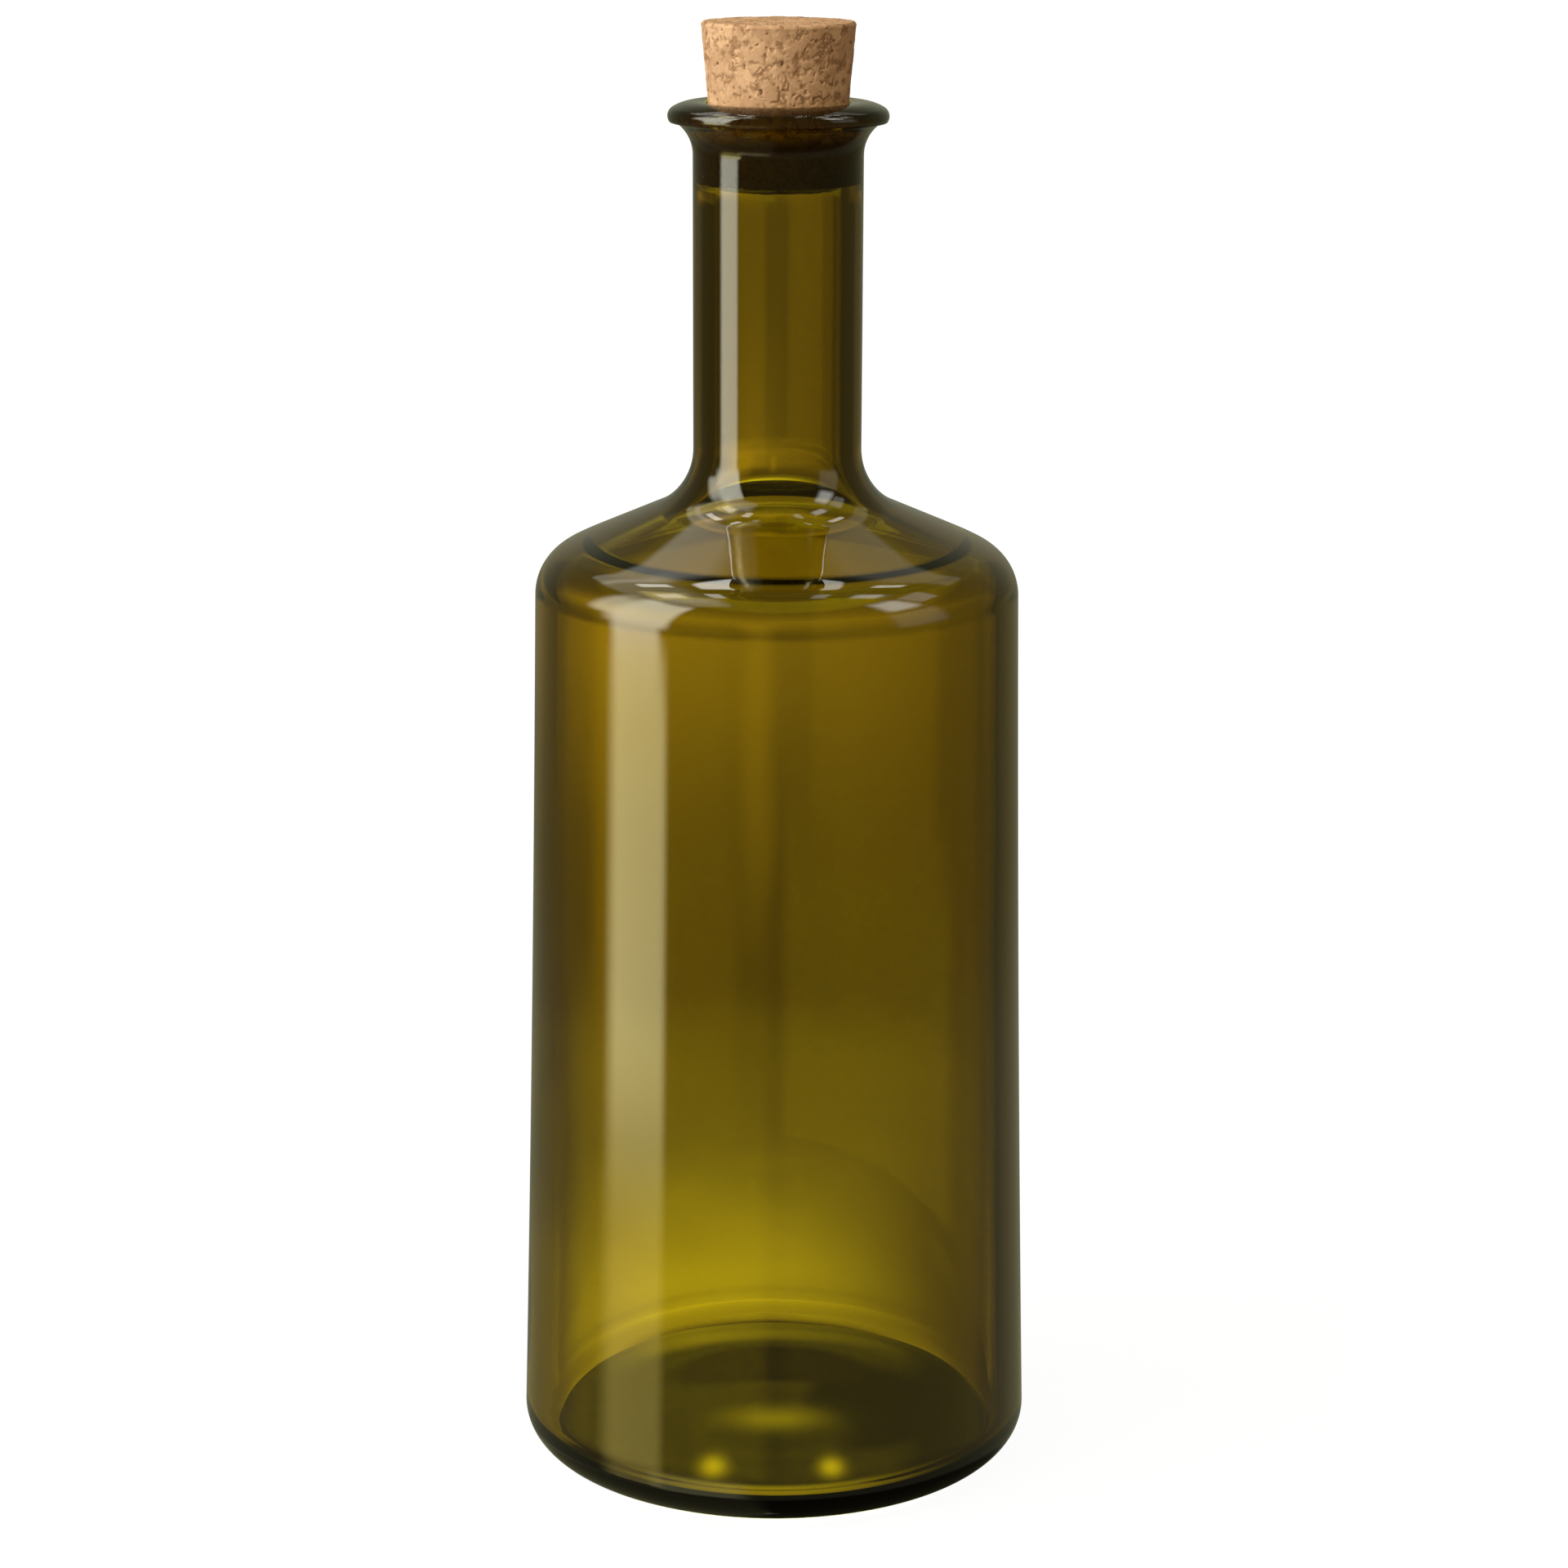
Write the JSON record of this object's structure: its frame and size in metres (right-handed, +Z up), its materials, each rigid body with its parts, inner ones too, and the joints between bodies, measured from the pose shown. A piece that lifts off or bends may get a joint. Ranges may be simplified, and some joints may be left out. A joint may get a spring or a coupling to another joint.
{
  "type": "glass oil bottle with cork",
  "caption": "Round olive-green glass oil bottle, empty, with a sloped shoulder, long neck and flared lip, closed by a tapered cork stopper.",
  "frame": {"origin": "centre of the foot, on the surface that the bottle stands on", "axes": "+Z up along the bottle's axis, from the foot to the cork; the shape is turned, so +X and +Y are any two sides"},
  "size_m": [0.096, 0.096, 0.268],
  "materials": {
    "glass": "clear olive-green glass, polished, thick walled",
    "cork": "raw agglomerated cork, matt, light tan granules with brown seams"
  },
  "bodies": {
    "root": {"bottle": "glass", "cork": "cork"}
  },
  "joints": []
}
